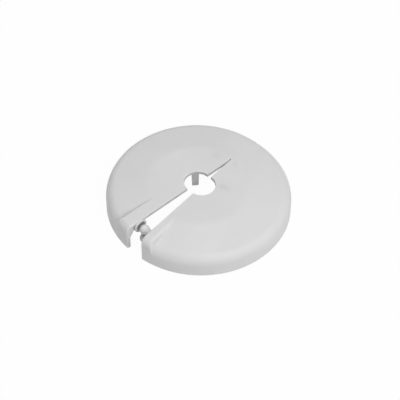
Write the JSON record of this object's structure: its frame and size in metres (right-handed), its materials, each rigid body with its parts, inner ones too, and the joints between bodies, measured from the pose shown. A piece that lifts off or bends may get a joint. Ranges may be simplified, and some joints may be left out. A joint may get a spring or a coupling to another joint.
{
  "type": "pipe rosette",
  "caption": "Shallow round split cover plate that flexes open, clips round a pipe where it enters a wall and hides the hole.",
  "frame": {"origin": "centre of the disc on the wall plane, under the pipe hole", "axes": "+Z out of the wall along the pipe, +X towards the uncut web that hinges the wings, -X towards the split's mouth"},
  "size_m": [0.0799, 0.0826, 0.013],
  "materials": {
    "white_plastic": "moulded, satin"
  },
  "bodies": {
    "root": {"rosette": "white_plastic"}
  },
  "joints": []
}
